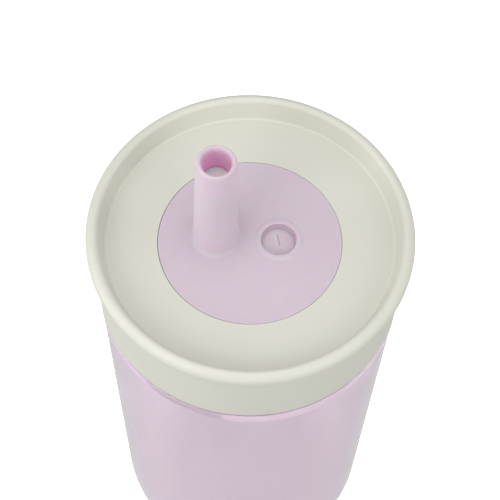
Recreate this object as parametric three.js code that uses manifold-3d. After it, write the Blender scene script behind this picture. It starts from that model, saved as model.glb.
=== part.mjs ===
// Toddler straw cup: a tapered translucent beaker, a screw-on ring lid with its gasket, and a soft
// insert whose spout and vent sit flush in the lid, with a drinking straw pushed into it from below.
// Units are millimetres, +Z is up, and the origin is the centre of the base.

import * as THREE from 'three';
import * as BufferGeometryUtils from 'three/addons/utils/BufferGeometryUtils.js';
import Module from 'manifold-3d';

const wasm = await Module();
wasm.setup();

// Driving dimensions
const DECK_Z = 121; // top face of the lid's deck, which the insert lies flush with
const LID_RADIUS = 38; // outermost radius, at the lid's rounded rim
const DECK_THICKNESS = 2.4;
const RIM_OUTER_ARC = { x: LID_RADIUS - 2.4, z: DECK_Z + 2.8, radius: 2.4 };
const RIM_CREST_ARC = { x: LID_RADIUS - 1.8, z: DECK_Z + 3.84, radius: 1.2 };
const RIM_JOIN = 60; // degrees, where the two arcs meet
const RIM_UNDERSIDE = -35; // degrees, where the outer arc meets the skirt
const RIM_WALL_TURN = 160; // degrees, where the crest turns into the rim's inner wall
const RIM_FILLET = { x: LID_RADIUS - 4.9, radius: 0.6, end: -20 }; // at the inner wall's foot
const SKIRT_DEPTH = 18.6; // from the deck down to the skirt's lower edge
const SKIRT_TOP_RADIUS = 35.95;
const SKIRT_TOP_Z = DECK_Z - 0.9; // where the rim's outside turns into the skirt
const SKIRT_BOTTOM_RADIUS = 35.6;
const SKIRT_GAP = 0.35; // between the skirt's lower edge and the cup's shoulder
const SHOULDER_RADIUS = 35.45; // the cup's narrow band just below the skirt
const BAND_HEIGHT = 3.45;
const BAND_STEP = 0.5; // height of the slope under the band
const SHOULDER_THICKNESS = 1.6;
const WALL_TOP_RADIUS = 35.25;
const WALL_BOTTOM_RADIUS = 30.85;
const CORNER_RADIUS = 9;
const WALL = 2.2;
const FLOOR_Z = 3.1; // the cup's inner floor
const FOOT_INNER_RADIUS = 16.5;
const FOOT_RECESS = 0.9;
const NECK_RADIUS = 32.2;
const NECK_BORE_RADIUS = 30.2;
const CUP_RIM_Z = 115;
const THREAD_PITCH = 5;
const THREAD_HEIGHT = 1.2;
const THREAD_ROOT_HALF = 1.05; // half the thread's width where it meets the wall
const THREAD_CREST_HALF = 0.5;
const THREAD_ROOT_DEPTH = 0.4; // how far a thread's root is buried in its wall
const THREAD_RUN_OUT = 0.45; // radians over which a thread's end rises out of the wall
const THREAD_CLEARANCE = 0.4; // from a thread's crest to the wall it faces
const THREAD_TURNS = 1.25;
const LID_THREAD_TURNS = 1.15;
const THREAD_START_Z = 105.4; // middle of the cup's thread at its lower end
const THREAD_FLANK_OFFSET = 1.9; // how far the lid's thread lies below the cup's
const LID_THREAD_START = 60; // degrees
const SKIRT_BORE_RADIUS = 33.8;
const GASKET_WALL_RADIUS = 29.4; // the lid's short wall inside the gasket
const GASKET_WALL_THICKNESS = 1.4;
const GASKET_WALL_HEIGHT = 5;
const GASKET_OUTER = { height: 1.6, inset: 1.1 }; // the gasket's outer side, tapered below this height
const GASKET_INNER = { height: 2.2, inset: 0.8 };
const SEAT_WALL = 3.5; // the thicker deck around the insert's hole
const SEAT_WALL_DROP = 2;
const INSERT_RADIUS = 21.3;
const INSERT_GAP = 0.3; // between the insert and its seat in the lid
const SEAT_DEPTH = 1.7;
const PLUG_RADIUS = 19.55; // the insert's lower part, which grips the lid's hole
const PLUG_WALL = 1.9;
const PLUG_BOTTOM_Z = 114.6;
const INSERT_UNDERSIDE_Z = 118.6;
const SPOUT_X = -8;
const SPOUT_Y = 1.3;
const SPOUT_TIP_Z = 154.2;
const SPOUT_BASE_RADIUS = 5.2;
const SPOUT_BORE_RADIUS = 3.25;
const SPOUT_FILLET = 1;
const LIP_HALF_WIDTH = 0.75; // the spout's tip is rounded as half an upright ellipse
const LIP_HEIGHT = 1.7;
const MEMBRANE_TOP_Z = 146.7; // the spout's slit valve
const MEMBRANE_THICKNESS = 0.8;
const SLIT_WIDTH = 0.3;
const SPOUT_SLIT = { length: 3.6, turn: 70 }; // turn in degrees from the Y axis
const VENT_SLIT = { length: 2.9, turn: 13, offset: 0.9 };
const SOCKET_RADIUS = 4.5;
const SOCKET_WALL = 1.7;
const SOCKET_MOUTH_Z = 108;
const SOCKET_END_Z = 117.6;
const STRAW_RADIUS = 5.2;
const STRAW_BORE_RADIUS = 3.9;
const STRAW_NECK_RADIUS = 4.2;
const STRAW_NECK_BORE_RADIUS = 3.1;
const STRAW_END_Z = 8.5;
const STRAW_SHOULDER = 1.5; // height over which the straw's bore narrows
const VENT_X = 6.6;
const VENT_Y = 0.9;
const VENT_RADIUS = 4.2;
const VENT_FLOOR_RADIUS = 3.85;
const VENT_DEPTH = 1.85;
const VENT_WALL = 1.1;
const VENT_LIP = { height: 0.2, inner: 0.22, outer: 0.66 }; // the flat top runs between these offsets
const VENT_FLOOR_THICKNESS = 0.9;
const ROOT = 1; // how far the spout and the vent's lip start below the deck
const GAP = 0.3; // clearance between pieces that touch
const CHAMFER = 0.4;
const EDGE = 0.2; // the smaller chamfers, either side of the seam round the insert

const ROUND_SEGMENTS = 48;
const TUBE_SEGMENTS = 24;
const ARC_STEPS = 2; // an arc in an outline gets twice this many chords

// A point on a circle, for the ends of tangent lines.
function onCircle(x, y, radius, degrees) {
  const angle = THREE.MathUtils.degToRad(degrees);
  return [x + radius * Math.cos(angle), y + radius * Math.sin(angle)];
}

// Turns an outline drawn as (radius, z) about the Z axis.
function turned(draw, segments = ROUND_SEGMENTS) {
  const path = new THREE.Path();
  draw(path);
  const points = path.getPoints(ARC_STEPS);
  const geometry = new THREE.LatheGeometry(points, segments);
  geometry.rotateX(Math.PI / 2);
  return toSolid(geometry);
}

function arc(path, x, y, radius, startDegrees, endDegrees) {
  const start = THREE.MathUtils.degToRad(startDegrees);
  const end = THREE.MathUtils.degToRad(endDegrees);
  path.absarc(x, y, radius, start, end, end < start);
}

// A closed three.js mesh as a manifold solid with its faces pointing out.
function toSolid(geometry) {
  const bare = new THREE.BufferGeometry();
  bare.setAttribute('position', geometry.getAttribute('position').clone());
  bare.setIndex(geometry.getIndex());
  const merged = BufferGeometryUtils.mergeVertices(bare, 1e-4);
  const corners = merged.getIndex().array;
  const kept = [];
  for (let i = 0; i < corners.length; i += 3) {
    const [a, b, c] = corners.slice(i, i + 3);
    if (a !== b && b !== c && c !== a) kept.push(a, b, c);
  }
  const vertProperties = Float32Array.from(merged.getAttribute('position').array);
  const triVerts = Uint32Array.from(kept);
  const solid = new wasm.Manifold(new wasm.Mesh({ numProp: 3, vertProperties, triVerts }));
  if (solid.volume() > 0) return solid;
  const flipped = triVerts.slice();
  for (let i = 0; i < flipped.length; i += 3) {
    flipped[i] = triVerts[i + 1];
    flipped[i + 1] = triVerts[i];
  }
  return new wasm.Manifold(new wasm.Mesh({ numProp: 3, vertProperties, triVerts: flipped }));
}

function toMesh(name, solid, colour, roughness) {
  const { vertProperties, triVerts } = solid.getMesh();
  const geometry = new THREE.BufferGeometry();
  geometry.setAttribute('position', new THREE.BufferAttribute(vertProperties, 3));
  geometry.setIndex(new THREE.BufferAttribute(triVerts, 1));
  geometry.computeVertexNormals();
  const material = new THREE.MeshStandardMaterial({ color: colour, roughness, metalness: 0 });
  const mesh = new THREE.Mesh(geometry, material);
  mesh.name = name;
  return mesh;
}

function upright(radius, bottomZ, topZ, x = 0, y = 0, segments = TUBE_SEGMENTS) {
  const geometry = new THREE.CylinderGeometry(radius, radius, topZ - bottomZ, segments);
  geometry.rotateX(Math.PI / 2);
  geometry.translate(x, y, (topZ + bottomZ) / 2);
  return toSolid(geometry);
}

function block(width, depth, bottomZ, topZ, x, y, turnDegrees = 0) {
  const geometry = new THREE.BoxGeometry(width, depth, topZ - bottomZ);
  geometry.rotateZ(THREE.MathUtils.degToRad(turnDegrees));
  geometry.translate(x, y, (topZ + bottomZ) / 2);
  return toSolid(geometry);
}

// A helical ridge: a straight bar of trapezoid section, wrapped round the axis with its ends run out.
// Its section runs from rootRadius, which is buried in the wall, to crestRadius.
function threadRidge({ rootRadius, crestRadius, startDegrees, startZ, turns }) {
  const sign = Math.sign(crestRadius - rootRadius);
  const height = Math.abs(crestRadius - rootRadius);
  const section = new THREE.Shape();
  section.moveTo(-THREAD_ROOT_HALF, 0);
  section.lineTo(THREAD_ROOT_HALF, 0);
  section.lineTo(THREAD_CREST_HALF, height);
  section.lineTo(-THREAD_CREST_HALF, height);
  const sweep = turns * 2 * Math.PI;
  const steps = Math.round(turns * ROUND_SEGMENTS);
  const bar = new THREE.ExtrudeGeometry(section, { depth: sweep, steps, bevelEnabled: false });
  const position = bar.getAttribute('position');
  for (let i = 0; i < position.count; i += 1) {
    const along = position.getZ(i);
    const rise = Math.min(1, along / THREAD_RUN_OUT, (sweep - along) / THREAD_RUN_OUT);
    const radius = rootRadius + sign * position.getY(i) * Math.max(rise, 0.1);
    const angle = along + THREE.MathUtils.degToRad(startDegrees);
    const z = startZ + position.getX(i) + (THREAD_PITCH * along) / (2 * Math.PI);
    position.setXYZ(i, radius * Math.cos(angle), radius * Math.sin(angle), z);
  }
  return toSolid(bar);
}

function cupBody() {
  const shoulderZ = DECK_Z - SKIRT_DEPTH - SKIRT_GAP;
  const bandBottom = shoulderZ - BAND_HEIGHT;
  const innerTop = WALL_TOP_RADIUS - WALL;
  const innerBottom = WALL_BOTTOM_RADIUS - WALL;
  const cornerX = WALL_BOTTOM_RADIUS - CORNER_RADIUS;
  const innerCorner = innerBottom - cornerX;
  const wall = turned((path) => {
    path.moveTo(0, FOOT_RECESS);
    path.lineTo(FOOT_INNER_RADIUS, FOOT_RECESS);
    path.lineTo(FOOT_INNER_RADIUS + 1, 0);
    path.lineTo(cornerX, 0);
    arc(path, cornerX, CORNER_RADIUS, CORNER_RADIUS, -90, 0);
    path.lineTo(WALL_TOP_RADIUS, bandBottom - BAND_STEP);
    path.lineTo(SHOULDER_RADIUS, bandBottom);
    path.lineTo(SHOULDER_RADIUS, shoulderZ - CHAMFER);
    path.lineTo(SHOULDER_RADIUS - CHAMFER, shoulderZ);
    path.lineTo(NECK_RADIUS, shoulderZ);
    path.lineTo(NECK_RADIUS, CUP_RIM_Z - CHAMFER);
    path.lineTo(NECK_RADIUS - CHAMFER, CUP_RIM_Z);
    path.lineTo(NECK_BORE_RADIUS + CHAMFER, CUP_RIM_Z);
    path.lineTo(NECK_BORE_RADIUS, CUP_RIM_Z - CHAMFER);
    path.lineTo(NECK_BORE_RADIUS, shoulderZ - SHOULDER_THICKNESS);
    path.lineTo(innerTop, bandBottom - SHOULDER_THICKNESS);
    path.lineTo(innerBottom, FLOOR_Z + innerCorner);
    arc(path, cornerX, FLOOR_Z + innerCorner, innerCorner, 0, -90);
    path.lineTo(0, FLOOR_Z);
  });
  const thread = threadRidge({
    rootRadius: NECK_RADIUS - THREAD_ROOT_DEPTH,
    crestRadius: NECK_RADIUS + THREAD_HEIGHT,
    startDegrees: 0,
    startZ: THREAD_START_Z,
    turns: THREAD_TURNS,
  });
  return wall.add(thread);
}

function lidRing() {
  const underDeck = DECK_Z - DECK_THICKNESS;
  const seatRadius = INSERT_RADIUS + INSERT_GAP;
  const holeRadius = PLUG_RADIUS + INSERT_GAP;
  const skirtBottom = DECK_Z - SKIRT_DEPTH;
  const crest = RIM_CREST_ARC;
  const outer = RIM_OUTER_ARC;
  const ring = turned((path) => {
    path.moveTo(holeRadius, DECK_Z - SEAT_DEPTH);
    path.lineTo(seatRadius, DECK_Z - SEAT_DEPTH);
    path.lineTo(seatRadius, DECK_Z - EDGE);
    path.lineTo(seatRadius + EDGE, DECK_Z);
    path.lineTo(RIM_FILLET.x, DECK_Z);
    arc(path, RIM_FILLET.x, DECK_Z + RIM_FILLET.radius, RIM_FILLET.radius, -90, RIM_FILLET.end);
    path.lineTo(...onCircle(crest.x, crest.z, crest.radius, RIM_WALL_TURN));
    arc(path, crest.x, crest.z, crest.radius, RIM_WALL_TURN, RIM_JOIN);
    arc(path, outer.x, outer.z, outer.radius, RIM_JOIN, RIM_UNDERSIDE);
    path.lineTo(SKIRT_TOP_RADIUS, SKIRT_TOP_Z);
    path.lineTo(SKIRT_BOTTOM_RADIUS, skirtBottom + CHAMFER);
    path.lineTo(SKIRT_BOTTOM_RADIUS - CHAMFER, skirtBottom);
    path.lineTo(SKIRT_BORE_RADIUS + CHAMFER, skirtBottom);
    path.lineTo(SKIRT_BORE_RADIUS, skirtBottom + CHAMFER);
    path.lineTo(SKIRT_BORE_RADIUS, underDeck);
    path.lineTo(GASKET_WALL_RADIUS, underDeck);
    path.lineTo(GASKET_WALL_RADIUS, underDeck - GASKET_WALL_HEIGHT);
    path.lineTo(GASKET_WALL_RADIUS - GASKET_WALL_THICKNESS, underDeck - GASKET_WALL_HEIGHT);
    path.lineTo(GASKET_WALL_RADIUS - GASKET_WALL_THICKNESS, underDeck);
    path.lineTo(holeRadius + SEAT_WALL, underDeck);
    path.lineTo(holeRadius + SEAT_WALL, underDeck - SEAT_WALL_DROP);
    path.lineTo(holeRadius, underDeck - SEAT_WALL_DROP);
    path.closePath();
  });
  const startRise = (THREAD_PITCH * LID_THREAD_START) / 360;
  const thread = threadRidge({
    rootRadius: SKIRT_BORE_RADIUS + THREAD_ROOT_DEPTH,
    crestRadius: NECK_RADIUS + THREAD_CLEARANCE,
    startDegrees: LID_THREAD_START,
    startZ: THREAD_START_Z - THREAD_FLANK_OFFSET + startRise,
    turns: LID_THREAD_TURNS,
  });
  return ring.add(thread);
}

function lidGasket() {
  const top = DECK_Z - DECK_THICKNESS - GAP;
  const bottom = CUP_RIM_Z + GAP;
  const outer = SKIRT_BORE_RADIUS - GAP;
  const inner = GASKET_WALL_RADIUS + GAP;
  return turned((path) => {
    path.moveTo(inner, top);
    path.lineTo(outer, top);
    path.lineTo(outer, top - GASKET_OUTER.height);
    path.lineTo(outer - GASKET_OUTER.inset, bottom);
    path.lineTo(inner + GASKET_INNER.inset, bottom);
    path.lineTo(inner, top - GASKET_INNER.height);
    path.closePath();
  });
}

function spoutInsert() {
  const disc = turned((path) => {
    path.moveTo(0, INSERT_UNDERSIDE_Z);
    path.lineTo(PLUG_RADIUS - PLUG_WALL, INSERT_UNDERSIDE_Z);
    path.lineTo(PLUG_RADIUS - PLUG_WALL, PLUG_BOTTOM_Z);
    path.lineTo(PLUG_RADIUS - CHAMFER, PLUG_BOTTOM_Z);
    path.lineTo(PLUG_RADIUS, PLUG_BOTTOM_Z + CHAMFER);
    path.lineTo(PLUG_RADIUS, DECK_Z - SEAT_DEPTH + GAP);
    path.lineTo(INSERT_RADIUS, DECK_Z - SEAT_DEPTH + GAP);
    path.lineTo(INSERT_RADIUS, DECK_Z - EDGE);
    path.lineTo(INSERT_RADIUS - EDGE, DECK_Z);
    path.lineTo(0, DECK_Z);
  });
  const lipMiddle = SPOUT_BORE_RADIUS + LIP_HALF_WIDTH;
  const lipZ = SPOUT_TIP_Z - LIP_HEIGHT;
  const spout = turned((path) => {
    path.moveTo(0, DECK_Z - ROOT);
    path.lineTo(SPOUT_BASE_RADIUS + SPOUT_FILLET, DECK_Z - ROOT);
    path.lineTo(SPOUT_BASE_RADIUS + SPOUT_FILLET, DECK_Z);
    arc(path, SPOUT_BASE_RADIUS + SPOUT_FILLET, DECK_Z + SPOUT_FILLET, SPOUT_FILLET, -90, -180);
    path.absellipse(lipMiddle, lipZ, LIP_HALF_WIDTH, LIP_HEIGHT, 0, Math.PI / 2, false, 0);
    path.lineTo(0, SPOUT_TIP_Z);
  }, TUBE_SEGMENTS).translate([SPOUT_X, SPOUT_Y, 0]);
  const bore = turned((path) => {
    path.moveTo(0, MEMBRANE_TOP_Z);
    path.lineTo(SPOUT_BORE_RADIUS, MEMBRANE_TOP_Z);
    path.absellipse(lipMiddle, lipZ, LIP_HALF_WIDTH, LIP_HEIGHT, Math.PI, Math.PI / 2, true, 0);
    path.lineTo(lipMiddle, SPOUT_TIP_Z + 1);
    path.lineTo(0, SPOUT_TIP_Z + 1);
  }, TUBE_SEGMENTS).translate([SPOUT_X, SPOUT_Y, 0]);
  const recess = turned((path) => {
    path.moveTo(0, DECK_Z - VENT_DEPTH);
    path.lineTo(VENT_FLOOR_RADIUS, DECK_Z - VENT_DEPTH);
    path.lineTo(VENT_RADIUS, DECK_Z + VENT_LIP.height);
    path.lineTo(VENT_RADIUS, DECK_Z + 1);
    path.lineTo(0, DECK_Z + 1);
  }, TUBE_SEGMENTS).translate([VENT_X, VENT_Y, 0]);
  const socket = upright(
    SOCKET_RADIUS + SOCKET_WALL, SOCKET_MOUTH_Z, DECK_Z - ROOT, SPOUT_X, SPOUT_Y,
  );
  const ventCup = upright(
    VENT_RADIUS + VENT_WALL, DECK_Z - VENT_DEPTH - VENT_FLOOR_THICKNESS, DECK_Z - ROOT,
    VENT_X, VENT_Y,
  );
  const ventLip = turned((path) => {
    path.moveTo(0, DECK_Z - ROOT);
    path.lineTo(VENT_RADIUS + VENT_WALL, DECK_Z - ROOT);
    path.lineTo(VENT_RADIUS + VENT_WALL, DECK_Z);
    path.lineTo(VENT_RADIUS + VENT_LIP.outer, DECK_Z + VENT_LIP.height);
    path.lineTo(VENT_RADIUS + VENT_LIP.inner, DECK_Z + VENT_LIP.height);
    path.lineTo(0, DECK_Z + VENT_LIP.height);
  }, TUBE_SEGMENTS).translate([VENT_X, VENT_Y, 0]);
  const cuts = [
    bore,
    recess,
    upright(
      STRAW_NECK_BORE_RADIUS, SOCKET_END_Z - 1, MEMBRANE_TOP_Z - MEMBRANE_THICKNESS,
      SPOUT_X, SPOUT_Y,
    ),
    upright(SOCKET_RADIUS, SOCKET_MOUTH_Z - 1, SOCKET_END_Z, SPOUT_X, SPOUT_Y),
    block(
      SLIT_WIDTH, SPOUT_SLIT.length, MEMBRANE_TOP_Z - 2, MEMBRANE_TOP_Z + 1,
      SPOUT_X, SPOUT_Y, SPOUT_SLIT.turn,
    ),
    block(
      SLIT_WIDTH, VENT_SLIT.length, DECK_Z - VENT_DEPTH - 2, DECK_Z - 1,
      VENT_X, VENT_Y + VENT_SLIT.offset, VENT_SLIT.turn,
    ),
  ];
  let insert = disc.add(spout).add(socket).add(ventCup).add(ventLip);
  for (const cut of cuts) {
    insert = insert.subtract(cut);
  }
  return insert;
}

function strawTube() {
  const neckBottom = SOCKET_MOUTH_Z - GAP;
  return turned((path) => {
    path.moveTo(STRAW_BORE_RADIUS, STRAW_END_Z);
    path.lineTo(STRAW_RADIUS - CHAMFER, STRAW_END_Z);
    path.lineTo(STRAW_RADIUS, STRAW_END_Z + CHAMFER);
    path.lineTo(STRAW_RADIUS, neckBottom);
    path.lineTo(STRAW_NECK_RADIUS, neckBottom);
    path.lineTo(STRAW_NECK_RADIUS, SOCKET_END_Z - GAP);
    path.lineTo(STRAW_NECK_BORE_RADIUS, SOCKET_END_Z - GAP);
    path.lineTo(STRAW_NECK_BORE_RADIUS, neckBottom);
    path.lineTo(STRAW_BORE_RADIUS, neckBottom - STRAW_SHOULDER);
    path.closePath();
  }, TUBE_SEGMENTS).translate([SPOUT_X, SPOUT_Y, 0]);
}

const group = new THREE.Group();
group.add(
  toMesh('cup_body', cupBody(), '#d2bfd0', 0.35),
  toMesh('lid_ring', lidRing(), '#d6d6ca', 0.45),
  toMesh('lid_gasket', lidGasket(), '#efece8', 0.6),
  toMesh('spout_insert', spoutInsert(), '#d3c1d0', 0.55),
  toMesh('straw_tube', strawTube(), '#dccfdb', 0.4),
);

export default group;
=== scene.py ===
"""A toddler's straw cup: frosted lilac beaker, sage ring lid, and soft lilac insert with its spout and vent.

Outlines are drawn in millimetres as (radius, z) and turned about an upright axis. Places come from the frame.
"""

import math

import bmesh
import bpy
from mathutils import Matrix, Vector


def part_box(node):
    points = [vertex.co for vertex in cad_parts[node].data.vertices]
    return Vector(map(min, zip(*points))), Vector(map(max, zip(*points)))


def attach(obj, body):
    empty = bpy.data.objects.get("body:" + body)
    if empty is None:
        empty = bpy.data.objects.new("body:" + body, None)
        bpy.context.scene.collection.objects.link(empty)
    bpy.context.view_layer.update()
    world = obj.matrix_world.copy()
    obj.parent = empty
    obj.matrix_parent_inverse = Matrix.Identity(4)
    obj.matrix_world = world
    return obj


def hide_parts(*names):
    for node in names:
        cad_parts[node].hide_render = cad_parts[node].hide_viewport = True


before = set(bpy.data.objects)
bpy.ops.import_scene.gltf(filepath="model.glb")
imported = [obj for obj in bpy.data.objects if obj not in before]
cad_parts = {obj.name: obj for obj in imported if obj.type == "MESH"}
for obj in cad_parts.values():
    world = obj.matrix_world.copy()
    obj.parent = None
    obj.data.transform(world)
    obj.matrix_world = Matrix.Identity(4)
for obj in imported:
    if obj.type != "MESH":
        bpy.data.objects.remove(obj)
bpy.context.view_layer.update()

MM = 0.001


def box_mm(node):
    low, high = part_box(node)
    return low / MM, high / MM


cup_high = box_mm("cup_body")[1]
lid_low = box_mm("lid_ring")[0]
gasket_low, gasket_high = box_mm("lid_gasket")
insert_low, insert_high = box_mm("spout_insert")
straw_low, straw_high = box_mm("straw_tube")

# Driving dimensions in millimetres, from the frame where it shows them
SKIRT_DEPTH = 18.6
DECK_Z = lid_low.z + SKIRT_DEPTH
DECK_THICKNESS = 2.4
UNDER_DECK_Z = DECK_Z - DECK_THICKNESS
SKIRT_TOP_RADIUS = 35.95
SKIRT_BOTTOM_RADIUS = 35.6
SKIRT_BORE_RADIUS = 33.8
GASKET_WALL_RADIUS = 29.4
GASKET_WALL = 1.4
GASKET_WALL_DEPTH = 5
COLLAR_WIDTH = 3.5  # the collar under the deck, round the hole for the insert
COLLAR_DEPTH = 2
GAP = 0.3  # between pieces, except round the insert's edge and under the skirt
DECK_EDGE_RADIUS = 33.52
RIM_CREST = (36.2, 3.84, 1.2)  # each rim arc's centre radius, height above the deck and own radius
RIM_OUTSIDE = (35.6, 2.8, 2.4)
RIM_UNDERSIDE = 0.9  # how far below the deck the rim meets the skirt
CUP_RIM_Z = cup_high.z
SHOULDER_Z = lid_low.z - 0.8
SHOULDER_RADIUS = cup_high.x
BAND_HEIGHT = 3.0
WALL_TOP_RADIUS = 35.25
WALL_BOTTOM_RADIUS = 30.85
WALL = 2.2
FLOOR_Z = 3.1
FLOOR_RADIUS = 28.1
FLOOR_ROUNDING = 6.5
FOOT_ROUNDING = 9
FOOT_RECESS_RADIUS = 16.5
FOOT_RECESS_DEPTH = 0.9
NECK_RADIUS = 32.2
NECK_BORE_RADIUS = 30.2
THREAD_PITCH = 5.0
THREAD_HEIGHT = 1.2
THREAD_START_Z = 105.4
THREAD_TURNS = 1.25
LID_THREAD_START = 60  # degrees
LID_THREAD_TURNS = 1.15
LID_THREAD_DROP = 1.9  # how far below the cup's thread the lid's thread runs
THREAD_CLEARANCE = 0.4
INSERT_RADIUS = insert_high.x
SEAT_RADIUS = INSERT_RADIUS + 0.1
SEAT_EDGE = 0.06
INSERT_SHIFT = -0.07  # along X: the insert sits a little off-centre
SEAT_SHIFT = -0.1  # along X: so does the seat around it, by a little more
SEAT_DEPTH = 1.7
PLUG_RADIUS = 19.55
PLUG_WALL = 1.9
PLUG_BOTTOM_Z = 114.6
UNDERSIDE_Z = 118.6
SPOUT_X = (straw_low.x + straw_high.x) / 2
SPOUT_Y = (straw_low.y + straw_high.y) / 2
SPOUT_TIP_Z = insert_high.z
SPOUT_BASE_RADIUS = 5.2
SPOUT_BORE_RADIUS = 3.25
SPOUT_FILLET = 1.0
LIP_HALF_WIDTH = 0.75
LIP_HEIGHT = 1.7
DISC_SOAK = 0.001  # how deep light soaks into the disc, in metres
LIP_SOAK = 0.1  # how deep it soaks at the spout's lip, as a share of the shaft's depth
BORE_BLEND = 0.2  # how far into the spout's wall the bore's painted shading fades out, and its deeper soak with it
SHAFT_FADE = (1, 8)  # heights above the deck between which the disc's depth gives way to the spout's
LIP_FADE = (3.5, 0.8)  # heights below the tip between which the spout's depth gives way to the lip's
MEMBRANE_Z = 146.7
MEMBRANE_THICKNESS = 0.8
MEMBRANE_FLAT = 3.05
SOCKET_RADIUS = 4.5
SOCKET_WALL = 1.7
SOCKET_MOUTH_Z = insert_low.z
SOCKET_END_Z = 117.6
STRAW_RADIUS = (straw_high.y - straw_low.y) / 2
STRAW_BORE_RADIUS = 3.9
STRAW_NECK_RADIUS = 4.2
STRAW_NECK_BORE_RADIUS = 3.1
VENT_X = 6.6
VENT_Y = 0.9
VENT_RADIUS = 4.2
VENT_FLOOR_RADIUS = 3.85
VENT_FLAT = 3.2
VENT_DEPTH = 1.85
VENT_WALL = 1.1
VENT_FLOOR = 0.9
VENT_LIP = 0.15
VENT_SLIT_OFFSET = 0.9
SLIT_WIDTH = 0.08
SPOUT_SLIT_LENGTH, SPOUT_SLIT_TURN = 3.6, 70  # turns are in degrees
VENT_SLIT_LENGTH, VENT_SLIT_TURN = 2.9, 13

ROUND_SEGMENTS = 192
TUBE_SEGMENTS = 96
ARC_STEP = math.radians(9)
HOLD = 0.12  # a straight stretch keeps its own direction up to this close to a rounded corner
THREAD_ROW = 0.25
TOLERANCE = 1e-4


# Outlines

def arc_points(centre, radius, start_degrees, end_degrees, height=None):
    """Points on an arc, or on part of an upright ellipse if a height is given for its other half-axis."""
    start, end = math.radians(start_degrees), math.radians(end_degrees)
    count = max(2, math.ceil(abs(end - start) / ARC_STEP))
    angles = [start + (end - start) * i / count for i in range(count + 1)]
    height = height or radius
    return [centre + Vector((radius * math.cos(a), height * math.sin(a))) for a in angles]


def rounded_corner(before, corner, after, radius):
    """The arc of this radius that touches both sides of a corner."""
    to_before = (before - corner).normalized()
    to_after = (after - corner).normalized()
    half = to_before.angle(to_after) / 2
    reach = radius / math.tan(half)
    start = corner + to_before * reach
    centre = corner + (to_before + to_after).normalized() * (radius / math.sin(half))
    turn = math.pi - 2 * half
    count = max(2, math.ceil(turn / ARC_STEP))
    spoke = start - centre
    side = 1 if to_before.y * to_after.x - to_before.x * to_after.y > 0 else -1
    points = []
    for i in range(count + 1):
        a = side * turn * i / count
        c, s = math.cos(a), math.sin(a)
        points.append(centre + Vector((c * spoke.x - s * spoke.y, s * spoke.x + c * spoke.y)))
    return points


def outline(*steps, closed=False):
    """Points of an outline. A step is (radius, z), (radius, z, rounding) or a list of points."""
    groups = []
    for step in steps:
        if isinstance(step, list):
            groups.append((step, 0))
        else:
            groups.append(([Vector(step[:2])], step[2] if len(step) > 2 else 0))
    points = []
    for i, (group, rounding) in enumerate(groups):
        if not rounding:
            points.append(group)
            continue
        before = groups[i - 1][0][-1]
        after = groups[(i + 1) % len(groups)][0][0]
        points.append(rounded_corner(before, group[0], after, rounding))
    out = []
    last = len(points) - 1
    for i, group in enumerate(points):
        out += group
        if i == last and not closed:
            break
        following = points[(i + 1) % len(points)][0]
        gap = following - group[-1]
        if gap.length > 4 * HOLD:
            out.append(group[-1] + gap.normalized() * HOLD)
            out.append(following - gap.normalized() * HOLD)
    return out


def subdivided(points, low, high, radius):
    """Adds the thread's rows of points along the upright stretch at this radius between two heights."""
    out = [points[0]]
    for a, b in zip(points, points[1:]):
        upright = abs(a.x - radius) < TOLERANCE and abs(b.x - radius) < TOLERANCE
        rise = abs(b.y - a.y)
        if upright and rise > 2 * THREAD_ROW and min(a.y, b.y) < high and max(a.y, b.y) > low:
            count = math.ceil(rise / THREAD_ROW)
            out += [a.lerp(b, i / count) for i in range(1, count)]
        out.append(b)
    return out


# Meshes

def add_turned(bm, points, segments, centre=(0, 0), closed=False, push=None):
    """Turns an outline about an upright axis into a bmesh. push(angle, point) moves a point outwards."""
    rings = []
    for p in points:
        if p.x < 1e-6:
            rings.append([bm.verts.new((centre[0], centre[1], p.y))])
            continue
        ring = []
        for i in range(segments):
            a = 2 * math.pi * i / segments
            r = p.x + (push(a, p) if push else 0)
            ring.append(bm.verts.new((centre[0] + r * math.cos(a), centre[1] + r * math.sin(a), p.y)))
        rings.append(ring)
    pairs = list(zip(rings, rings[1:]))
    if closed:
        pairs.append((rings[-1], rings[0]))
    for low, high in pairs:
        for i in range(segments):
            j = (i + 1) % segments
            corners = [low[i % len(low)], low[j % len(low)], high[j % len(high)], high[i % len(high)]]
            corners = list(dict.fromkeys(corners))
            bm.faces.new(corners).smooth = True


def circle(radius, z, segments, centre=(0, 0)):
    """A level ring of points that matches the rings of a turned outline."""
    angles = [2 * math.pi * i / segments for i in range(segments)]
    return [(centre[0] + radius * math.cos(a), centre[1] + radius * math.sin(a), z) for a in angles]


def slit(width, length, z, centre, turn_degrees):
    """A thin rounded slot, as a closed loop of points."""
    turn = math.radians(turn_degrees)
    steps = 8  # of each rounded end
    points = []
    for end in (1, -1):
        for i in range(steps + 1):
            a = math.pi * i / steps + (0 if end > 0 else math.pi)
            x = width / 2 * math.cos(a)
            y = end * (length - width) / 2 + width / 2 * math.sin(a)
            points.append((
                centre[0] + x * math.cos(turn) - y * math.sin(turn),
                centre[1] + x * math.sin(turn) + y * math.cos(turn),
                z,
            ))
    return points


def add_flat(bm, *loops):
    """Fills the flat area inside the first loop and outside the others."""
    edges = []
    for loop in loops:
        verts = [bm.verts.new(p) for p in loop]
        edges += [bm.edges.new((verts[i - 1], verts[i])) for i in range(len(verts))]
    filled = bmesh.ops.triangle_fill(bm, edges=edges, use_beauty=True, normal=(0, 0, 1))
    return [item for item in filled["geom"] if isinstance(item, bmesh.types.BMFace)]


def add_walls(bm, low_loop, high_loop):
    """Joins two loops of points, one above the other, with upright faces."""
    low = [bm.verts.new(p) for p in low_loop]
    high = [bm.verts.new(p) for p in high_loop]
    for i in range(len(low)):
        bm.faces.new((low[i - 1], low[i], high[i], high[i - 1]))


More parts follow.
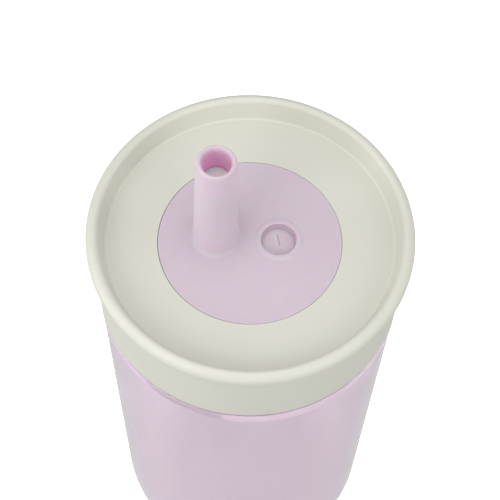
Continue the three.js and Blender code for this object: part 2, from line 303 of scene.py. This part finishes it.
def finished(bm, name, body, node, *materials):
    """Closes a bmesh drawn in millimetres into a piece that stands for a CAD node."""
    bmesh.ops.remove_doubles(bm, verts=bm.verts, dist=TOLERANCE)
    bmesh.ops.recalc_face_normals(bm, faces=bm.faces)
    bmesh.ops.scale(bm, vec=(MM, MM, MM), verts=bm.verts)
    open_edges = [e for e in bm.edges if not e.is_manifold]
    if open_edges:
        raise RuntimeError(f"{name} has {len(open_edges)} open edges")
    if bm.calc_volume(signed=True) < 0:
        bmesh.ops.reverse_faces(bm, faces=bm.faces)
    mesh = bpy.data.meshes.new(name)
    bm.to_mesh(mesh)
    bm.free()
    piece = bpy.data.objects.new(name, mesh)
    bpy.context.scene.collection.objects.link(piece)
    for material in materials:
        mesh.materials.append(material)
    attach(piece, body)
    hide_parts(node)


# Materials

class Nodes:
    """A material's node tree with short ways to add and join nodes."""

    def __init__(self, name):
        self.material = bpy.data.materials.new(name)
        self.material.use_nodes = True
        self.tree = self.material.node_tree
        self.tree.nodes.clear()
        self.output = self.add("ShaderNodeOutputMaterial")
        self.place = self.add("ShaderNodeTexCoord").outputs["Object"]

    def add(self, kind, **sockets):
        node = self.tree.nodes.new(kind)
        for name, value in sockets.items():
            self.set(node, name.replace("_", " "), value)
        return node

    def set(self, node, name, value):
        socket = node.inputs[name]
        if isinstance(value, bpy.types.NodeSocket):
            self.tree.links.new(value, socket)
        else:
            socket.default_value = value

    def noise(self, per_metre, detail):
        node = self.add("ShaderNodeTexNoise", Scale=per_metre, Detail=detail, Roughness=0.5)
        self.tree.links.new(self.place, node.inputs["Vector"])
        return node.outputs["Fac"]

    def ranged(self, value, low, high, from_low=0.3, from_high=0.7):
        node = self.add("ShaderNodeMapRange", Value=value)
        self.set(node, "From Min", from_low)
        self.set(node, "From Max", from_high)
        self.set(node, "To Min", low)
        self.set(node, "To Max", high)
        return node.outputs["Result"]

    def mixed(self, factor, a, b):
        node = self.tree.nodes.new("ShaderNodeMix")
        node.data_type = "RGBA"
        self.tree.links.new(factor, node.inputs["Factor"])
        for socket in node.inputs:
            if socket.type == "RGBA":
                colour = a if socket.name == "A" else b
                if isinstance(colour, bpy.types.NodeSocket):
                    self.tree.links.new(colour, socket)
                else:
                    socket.default_value = (*colour, 1)
        return [s for s in node.outputs if s.type == "RGBA"][0]

    def clouded(self, factor, colour, spread):
        """The colour, a little darker or lighter with the factor."""
        return self.mixed(factor, shade(colour, 1 - spread), shade(colour, 1 + spread))

    def maths(self, operation, *values):
        node = self.add("ShaderNodeMath")
        node.operation = operation
        for socket, value in zip(node.inputs, values):
            if isinstance(value, bpy.types.NodeSocket):
                self.tree.links.new(value, socket)
            else:
                socket.default_value = value
        return node.outputs["Value"]

    def vector_maths(self, operation, vector, constant):
        node = self.add("ShaderNodeVectorMath")
        node.operation = operation
        self.tree.links.new(vector, node.inputs[0])
        node.inputs[1].default_value = constant
        return node

    def bump(self, height, distance, strength=1.0, normal=None):
        node = self.add("ShaderNodeBump", Height=height, Distance=distance, Strength=strength)
        if normal is not None:
            self.tree.links.new(normal, node.inputs["Normal"])
        return node.outputs["Normal"]


def shade(colour, factor):
    return tuple(c * factor for c in colour)


def moulded_plastic(name, colour, roughness):
    """Satin moulded plastic: faint clouds in the colour and gloss, slow waves and a fine moulded grain."""
    n = Nodes(name)
    clouds = n.noise(28, detail=3)
    grain_height = n.noise(2600, detail=2)
    waves = n.noise(90, detail=1)
    normal = n.bump(waves, distance=0.00012, strength=0.35)
    normal = n.bump(grain_height, distance=0.00001, normal=normal)
    surface = n.add("ShaderNodeBsdfPrincipled", Normal=normal)
    n.set(surface, "Base Color", n.clouded(n.ranged(clouds, 0, 1), colour, 0.015))
    n.set(surface, "Roughness", n.ranged(clouds, roughness - 0.03, roughness + 0.03))
    n.set(n.output, "Surface", surface.outputs["BSDF"])
    return n.material


sage_plastic = moulded_plastic("sage_satin_plastic", (0.546, 0.548, 0.480), 0.42)
seal_silicone = moulded_plastic("clear_seal_silicone", (0.70, 0.69, 0.67), 0.5)


def soft_silicone(name, colour, deep, painted_bore_shading, bore_deep):
    """Matte silicone with a fine dusty grain. Where it is thin and tall, as in the spout, light soaks deeper.

    It soaks deepest through the wall of the spout's bore, and least at the rounded lip. Inside the bore the
    colour turns to painted shading: painted shade and pink bounce on the bore's wall, painted light on its
    membrane.
    """
    n = Nodes(name)
    clouds = n.ranged(n.noise(40, detail=3), 0, 1)
    dust = n.noise(3200, detail=2)
    normal = n.bump(dust, distance=0.000012)
    surface = n.add("ShaderNodeBsdfPrincipled", Normal=normal)
    flat = n.vector_maths("MULTIPLY", n.place, (1, 1, 0)).outputs["Vector"]
    across = n.vector_maths("DISTANCE", flat, (SPOUT_X * MM, SPOUT_Y * MM, 0)).outputs["Value"]
    bore_edge = (SPOUT_BORE_RADIUS + 0.05) * MM
    bore = n.ranged(across, 1, 0, bore_edge, bore_edge + BORE_BLEND * MM)
    outside = n.clouded(clouds, colour, 0.015)
    # painted shading: inside the bore the colour gives way to a painted tone, not to a different silicone
    inside = n.clouded(clouds, painted_bore_shading, 0.015)
    n.set(surface, "Base Color", n.mixed(bore, outside, inside))
    n.set(surface, "Roughness", n.ranged(clouds, 0.46, 0.54, 0, 1))
    n.set(surface, "Subsurface Weight", 1.0)
    n.set(surface, "Subsurface Radius", (1.0, 0.4, 0.65))
    height = n.add("ShaderNodeSeparateXYZ", Vector=n.place).outputs["Z"]
    shaft_low, shaft_high = [(DECK_Z + rise) * MM for rise in SHAFT_FADE]
    lip_low, lip_high = [(SPOUT_TIP_Z - drop) * MM for drop in LIP_FADE]
    shaft = n.ranged(height, DISC_SOAK, deep, shaft_low, shaft_high)
    lip = n.ranged(height, 1, LIP_SOAK, lip_low, lip_high)
    soak = n.maths("MULTIPLY", shaft, lip)
    n.set(surface, "Subsurface Scale", n.maths("MULTIPLY_ADD", bore, bore_deep, soak))
    n.set(n.output, "Surface", surface.outputs["BSDF"])
    return n.material


def frosted_plastic(name, colour, roughness, transmission):
    """Tinted see-through plastic with faint clouds in its colour and gloss, and a very fine frost."""
    n = Nodes(name)
    clouds = n.noise(24, detail=3)
    grain = n.noise(2200, detail=2)
    normal = n.bump(grain, distance=0.000006)
    surface = n.add("ShaderNodeBsdfPrincipled", Normal=normal, IOR=1.5)
    n.set(surface, "Base Color", n.clouded(n.ranged(clouds, 0, 1), colour, 0.01))
    n.set(surface, "Roughness", n.ranged(clouds, roughness - 0.02, roughness + 0.02))
    n.set(surface, "Transmission Weight", transmission)
    n.set(n.output, "Surface", surface.outputs["BSDF"])
    return n.material


# The lilac silicone's bore tone is painted shade and pink bounce on the spout's bore wall.
lilac_silicone = soft_silicone("lilac_silicone", (0.545, 0.467, 0.53), 0.008, (0.52, 0.40, 0.47), 0.005)
# The membranes' silicone is paler with painted light, brightest on the spout's membrane inside the bore.
membrane_painted_light_silicone = soft_silicone("membrane_painted_light_lilac_silicone", (0.60, 0.51, 0.575), 0.00003, (0.99, 0.88, 0.97), 0)
# The vent's wall silicone is darker with painted shade in the recess.
vent_wall_painted_shade = soft_silicone("vent_wall_painted_shade_silicone", (0.48, 0.385, 0.45), 0.001, (0.48, 0.385, 0.45), 0)
frosted_lilac = frosted_plastic("frosted_lilac_plastic", (0.86, 0.75, 0.84), 0.10, 0.75)
straw_plastic = frosted_plastic("straw_plastic", (0.95, 0.91, 0.94), 0.12, 0.4)


MEMBRANE_PAINTED_LIGHT, VENT_WALL_PAINTED_SHADE = 1, 2  # material slots of the insert's flat membranes, paler with painted light, and of its vent's wall, darker with painted shade


# Pieces

def thread_push(start_degrees, start_z, turns, height, wall_radius):
    """How far a helical thread stands out of the wall at this radius, as a function of angle and place."""
    root_half, crest_half = 1.05, 0.5
    run_out = 0.45  # radians over which each end of the thread rises to its full height
    start, sweep = math.radians(start_degrees), turns * 2 * math.pi

    def push(angle, p):
        if abs(p.x - wall_radius) >= TOLERANCE:
            return 0
        best = 0
        for turn in range(-1, 3):
            along = angle - start + turn * 2 * math.pi
            if not 0 <= along <= sweep:
                continue
            away = abs(p.y - start_z - THREAD_PITCH * along / (2 * math.pi))
            side = min(1, max(0, (root_half - away) / (root_half - crest_half)))
            rise = min(1, along / run_out, (sweep - along) / run_out)
            best = max(best, side * math.sin(rise * math.pi / 2))
        return height * best

    return push


def make_cup():
    """The beaker, from the recess under its foot up the outside, over the rim and down to the floor."""
    band_bottom = SHOULDER_Z - BAND_HEIGHT
    points = outline(
        (0, FOOT_RECESS_DEPTH),
        (FOOT_RECESS_RADIUS, FOOT_RECESS_DEPTH, 0.4),
        (FOOT_RECESS_RADIUS + 1, 0, 0.4),
        (WALL_BOTTOM_RADIUS - FOOT_ROUNDING, 0),
        arc_points(Vector((WALL_BOTTOM_RADIUS - FOOT_ROUNDING, FOOT_ROUNDING)), FOOT_ROUNDING, -87, -2.8),
        (WALL_TOP_RADIUS, band_bottom - 0.5, 0.5),
        (SHOULDER_RADIUS, band_bottom, 0.3),
        (SHOULDER_RADIUS, SHOULDER_Z, 0.2),
        (NECK_RADIUS, SHOULDER_Z, 0.4),
        (NECK_RADIUS, CUP_RIM_Z, 0.5),
        (NECK_BORE_RADIUS, CUP_RIM_Z, 0.6),
        (NECK_BORE_RADIUS, SHOULDER_Z - 1.6, 1.2),
        (WALL_TOP_RADIUS - WALL, band_bottom - 1.6, 1.5),
        (FLOOR_RADIUS, FLOOR_Z, FLOOR_ROUNDING),
        (0, FLOOR_Z),
    )
    points = subdivided(points, SHOULDER_Z, CUP_RIM_Z, NECK_RADIUS)
    bm = bmesh.new()
    push = thread_push(0, THREAD_START_Z, THREAD_TURNS, THREAD_HEIGHT, NECK_RADIUS)
    add_turned(bm, points, ROUND_SEGMENTS, push=push)
    finished(bm, "beaker", "cup", "cup_body", frosted_lilac)


def rim_arc(arc, start_degrees, end_degrees):
    centre_radius, height, radius = arc
    return arc_points(Vector((centre_radius, DECK_Z + height)), radius, start_degrees, end_degrees)


def make_lid():
    """The ring lid: seat, deck, rim, skirt, the gasket's wall and the collar, in order round its section."""
    hole = PLUG_RADIUS + GAP
    collar = hole + COLLAR_WIDTH
    collar_bottom = UNDER_DECK_Z - COLLAR_DEPTH
    wall_in = GASKET_WALL_RADIUS - GASKET_WALL
    wall_bottom = UNDER_DECK_Z - GASKET_WALL_DEPTH
    crest_arc = rim_arc(RIM_CREST, 160, 60)
    outer_arc = rim_arc(RIM_OUTSIDE, 60, -35)
    points = outline(
        (hole, DECK_Z - SEAT_DEPTH, 0.15),
        (SEAT_RADIUS, DECK_Z - SEAT_DEPTH, 0.15),
        (SEAT_RADIUS, DECK_Z, SEAT_EDGE),
        (DECK_EDGE_RADIUS, DECK_Z, 0.6),
        crest_arc[:-1],
        outer_arc,
        (SKIRT_TOP_RADIUS, DECK_Z - RIM_UNDERSIDE, 1.8),
        (SKIRT_BOTTOM_RADIUS, lid_low.z, 0.2),
        (SKIRT_BORE_RADIUS, lid_low.z, 0.4),
        (SKIRT_BORE_RADIUS, UNDER_DECK_Z, 0.5),
        (GASKET_WALL_RADIUS, UNDER_DECK_Z, 0.3),
        (GASKET_WALL_RADIUS, wall_bottom, 0.35),
        (wall_in, wall_bottom, 0.35),
        (wall_in, UNDER_DECK_Z, 0.3),
        (collar, UNDER_DECK_Z, 0.3),
        (collar, collar_bottom, 0.35),
        (hole, collar_bottom, 0.35),
        closed=True,
    )
    points = subdivided(points, lid_low.z, UNDER_DECK_Z, SKIRT_BORE_RADIUS)
    depth = SKIRT_BORE_RADIUS - NECK_RADIUS - THREAD_CLEARANCE
    start_z = THREAD_START_Z - LID_THREAD_DROP + THREAD_PITCH * LID_THREAD_START / 360
    thread = thread_push(LID_THREAD_START, start_z, LID_THREAD_TURNS, -depth, SKIRT_BORE_RADIUS)

    def push(angle, p):
        in_seat = abs(p.x - SEAT_RADIUS) < 2 * SEAT_EDGE
        return thread(angle, p) + (SEAT_SHIFT * math.cos(angle) if in_seat else 0)

    bm = bmesh.new()
    add_turned(bm, points, ROUND_SEGMENTS, closed=True, push=push)
    finished(bm, "lid", "lid", "lid_ring", sage_plastic)


def make_gasket():
    outer, inner = gasket_high.x, GASKET_WALL_RADIUS + GAP
    top, bottom = gasket_high.z, gasket_low.z
    points = outline(
        (inner, top, 0.25),
        (outer, top, 0.25),
        (outer, top - 1.6, 0.3),
        (outer - 1.1, bottom, 0.3),
        (inner + 0.8, bottom, 0.3),
        (inner, top - 2.2, 0.25),
        closed=True,
    )
    bm = bmesh.new()
    add_turned(bm, points, ROUND_SEGMENTS, closed=True)
    finished(bm, "gasket", "lid_seal", "lid_gasket", seal_silicone)


def make_insert():
    bm = bmesh.new()
    spout, vent = (SPOUT_X, SPOUT_Y), (VENT_X, VENT_Y)
    apron = 0.3  # a rounded feature's last ring, flat in the disc's plane
    top_edge = INSERT_RADIUS - 0.9
    plug_in = PLUG_RADIUS - PLUG_WALL
    underside_edge = plug_in - 0.8
    disc_bottom = DECK_Z - SEAT_DEPTH + GAP

    # The disc's side and its plug, from the top plane round to the underside plane
    add_turned(bm, outline(
        (top_edge, DECK_Z),
        (INSERT_RADIUS, DECK_Z, SEAT_EDGE),
        (INSERT_RADIUS, disc_bottom, 0.2),
        (PLUG_RADIUS, disc_bottom, 0.2),
        (PLUG_RADIUS, PLUG_BOTTOM_Z, 0.6),
        (plug_in, PLUG_BOTTOM_Z, 0.5),
        (plug_in, UNDERSIDE_Z, 0.5),
        (underside_edge, UNDERSIDE_Z),
    ), ROUND_SEGMENTS)

    # The spout, from the disc over its lip and down the bore to the slit membrane
    foot = SPOUT_BASE_RADIUS + SPOUT_FILLET
    lip = Vector((SPOUT_BORE_RADIUS + LIP_HALF_WIDTH, SPOUT_TIP_Z - LIP_HEIGHT))
    add_turned(bm, outline(
        (foot + apron, DECK_Z),
        arc_points(Vector((foot, DECK_Z + SPOUT_FILLET)), SPOUT_FILLET, -90, -180),
        arc_points(lip, LIP_HALF_WIDTH, 0, 180, LIP_HEIGHT),
        (SPOUT_BORE_RADIUS, MEMBRANE_Z, 0.12),
        (MEMBRANE_FLAT, MEMBRANE_Z),
    ), TUBE_SEGMENTS, spout)

    # The socket below, from the underside plane down and up its bore to the membrane's lower face
    socket_outer = SOCKET_RADIUS + SOCKET_WALL
    socket_edge = socket_outer + 0.8
    under_membrane = MEMBRANE_Z - MEMBRANE_THICKNESS
    add_turned(bm, outline(
        (socket_edge, UNDERSIDE_Z),
        (socket_outer, UNDERSIDE_Z, 0.5),
        (socket_outer, SOCKET_MOUTH_Z, 0.4),
        (SOCKET_RADIUS, SOCKET_MOUTH_Z, 0.4),
        (SOCKET_RADIUS, SOCKET_END_Z, 0.25),
        (STRAW_NECK_BORE_RADIUS, SOCKET_END_Z, 0.25),
        (STRAW_NECK_BORE_RADIUS, under_membrane, 0.04),
        (MEMBRANE_FLAT, under_membrane),
    ), TUBE_SEGMENTS, spout)

    # The vent: a soft raised lip round a recess, and the cup that holds it below the disc
    lip_in, lip_out = VENT_RADIUS, VENT_RADIUS + VENT_WALL
    lip_edge = lip_out + 0.9 + apron
    under_edge = lip_out + 0.6
    vent_floor = DECK_Z - VENT_DEPTH
    vent_bottom = vent_floor - VENT_FLOOR
    add_turned(bm, outline(
        (lip_edge, DECK_Z),
        (lip_out + 0.3, DECK_Z, 0.5),
        (lip_out - 0.35, DECK_Z + VENT_LIP, 0.5),
        (lip_in, DECK_Z + VENT_LIP, 0.15),
        (VENT_FLOOR_RADIUS, vent_floor, 0.2),
        (VENT_FLAT, vent_floor),
    ), TUBE_SEGMENTS, vent)
    for face in bm.faces:
        middle = face.calc_center_median()
        away = math.hypot(middle.x - VENT_X, middle.y - VENT_Y)
        # The vent's wall gets the darker slot: painted shade in the recess.
        if away < lip_in and vent_floor < middle.z < DECK_Z:
            face.material_index = VENT_WALL_PAINTED_SHADE
    add_turned(bm, outline(
        (under_edge, UNDERSIDE_Z),
        (lip_out, UNDERSIDE_Z, 0.3),
        (lip_out, vent_bottom, 0.3),
        (VENT_FLAT, vent_bottom),
    ), TUBE_SEGMENTS, vent)

    # The flat areas between them
    vent_slit = (VENT_X, VENT_Y + VENT_SLIT_OFFSET)
    for centre, middle, length, turn, top, bottom, radius in (
        (spout, spout, SPOUT_SLIT_LENGTH, SPOUT_SLIT_TURN, MEMBRANE_Z, under_membrane, MEMBRANE_FLAT),
        (vent, vent_slit, VENT_SLIT_LENGTH, VENT_SLIT_TURN, vent_floor, vent_bottom, VENT_FLAT),
    ):
        upper = slit(SLIT_WIDTH, length, top, middle, turn)
        lower = slit(SLIT_WIDTH, length, bottom, middle, turn)
        faces = add_flat(bm, circle(radius, top, TUBE_SEGMENTS, centre), upper)
        faces += add_flat(bm, circle(radius, bottom, TUBE_SEGMENTS, centre), lower)
        # The membranes get the paler slot: painted light on the floors of the spout and the vent.
        for face in faces:
            face.material_index = MEMBRANE_PAINTED_LIGHT
        add_walls(bm, lower, upper)
    add_flat(
        bm,
        circle(top_edge, DECK_Z, ROUND_SEGMENTS),
        circle(foot + apron, DECK_Z, TUBE_SEGMENTS, spout),
        circle(lip_edge, DECK_Z, TUBE_SEGMENTS, vent),
    )
    add_flat(
        bm,
        circle(underside_edge, UNDERSIDE_Z, ROUND_SEGMENTS),
        circle(socket_edge, UNDERSIDE_Z, TUBE_SEGMENTS, spout),
        circle(under_edge, UNDERSIDE_Z, TUBE_SEGMENTS, vent),
    )
    bmesh.ops.translate(bm, vec=(INSERT_SHIFT, 0, 0), verts=bm.verts)
    finished(bm, "insert", "insert", "spout_insert", lilac_silicone, membrane_painted_light_silicone, vent_wall_painted_shade)


def make_straw():
    neck_bottom = SOCKET_MOUTH_Z - GAP
    neck_top = SOCKET_END_Z - GAP
    points = outline(
        (STRAW_BORE_RADIUS, straw_low.z, 0.4),
        (STRAW_RADIUS, straw_low.z, 0.5),
        (STRAW_RADIUS, neck_bottom, 0.4),
        (STRAW_NECK_RADIUS, neck_bottom, 0.2),
        (STRAW_NECK_RADIUS, neck_top, 0.3),
        (STRAW_NECK_BORE_RADIUS, neck_top, 0.3),
        (STRAW_NECK_BORE_RADIUS, neck_bottom, 0.5),
        (STRAW_BORE_RADIUS, neck_bottom - 1.5, 0.5),
        closed=True,
    )
    bm = bmesh.new()
    add_turned(bm, points, TUBE_SEGMENTS, (SPOUT_X, SPOUT_Y), closed=True)
    finished(bm, "straw", "insert", "straw_tube", straw_plastic)


make_cup()
make_lid()
make_gasket()
make_insert()
make_straw()


# Stage, light and camera

def make_floor():
    """A pale plain floor, which gives off a little light of its own."""
    drop = 0.0002  # keeps it just clear of the cup's foot
    bm = bmesh.new()
    bmesh.ops.create_grid(bm, x_segments=1, y_segments=1, size=3)
    mesh = bpy.data.meshes.new("floor")
    bm.to_mesh(mesh)
    bm.free()
    floor = bpy.data.objects.new("floor", mesh)
    floor.location.z = -drop
    bpy.context.scene.collection.objects.link(floor)
    n = Nodes("pale_floor")
    surface = n.add("ShaderNodeBsdfPrincipled", Roughness=0.9)
    n.set(surface, "Base Color", (0.98, 0.98, 0.98, 1))
    n.set(surface, "Emission Color", (1, 1, 1, 1))
    n.set(surface, "Emission Strength", 0.5)
    n.set(n.output, "Surface", surface.outputs["BSDF"])
    mesh.materials.append(n.material)
    floor.visible_diffuse = False
    floor.visible_glossy = False


def soft_light(name, place, target, width, watts, height):
    light = bpy.data.lights.new(name, "AREA")
    light.shape = "RECTANGLE"
    light.size = width
    light.size_y = height
    light.energy = watts
    lamp = bpy.data.objects.new(name, light)
    lamp.location = place
    lamp.rotation_euler = (Vector(target) - Vector(place)).to_track_quat("-Z", "Y").to_euler()
    bpy.context.scene.collection.objects.link(lamp)


def make_lights():
    world = bpy.data.worlds.new("studio")
    world.use_nodes = True
    background = world.node_tree.nodes["Background"]
    background.inputs["Color"].default_value = (1, 1, 1, 1)
    background.inputs["Strength"].default_value = 0.667
    bpy.context.scene.world = world
    middle = (0, 0, 0.1)
    soft_light("overhead", (0, 0.05, 1.0), middle, 0.4, 1.95, 0.4)
    soft_light("left_high", (-0.55, -0.05, 0.75), middle, 0.5, 0.75, 0.6)
    soft_light("left_low", (-0.75, -0.1, 0.15), middle, 0.3, 1.7, 0.6)
    soft_light("left_front", (-0.5, -0.6, 0.5), middle, 0.5, 3.0, 0.5)
    soft_light("right", (0.7, -0.05, 0.4), middle, 0.4, 0.95, 0.6)
    soft_light("right_front", (0.5, -0.6, 0.5), middle, 0.5, 1.6, 0.5)


def make_camera():
    """A long lens looking down at the lid, a little off the cup's axis, with a slight roll."""
    elevation = math.radians(61.0)
    distance = 0.5317
    roll = math.radians(2.25)
    aim_drop = 0.00396
    deck = Vector((0, 0, DECK_Z * MM))
    aim = deck - Vector((0, 0, aim_drop))
    data = bpy.data.cameras.new("camera")
    data.lens = 165.6
    data.sensor_width = 36
    data.clip_start = 0.01
    camera = bpy.data.objects.new("camera", data)
    camera.location = deck + distance * Vector((0, -math.cos(elevation), math.sin(elevation)))
    look = (aim - camera.location).to_track_quat("-Z", "Y").to_matrix()
    camera.rotation_euler = (look @ Matrix.Rotation(roll, 3, "Z")).to_euler()
    bpy.context.scene.collection.objects.link(camera)
    bpy.context.scene.camera = camera


make_floor()
make_lights()
make_camera()
bpy.context.scene.view_settings.view_transform = "Standard"
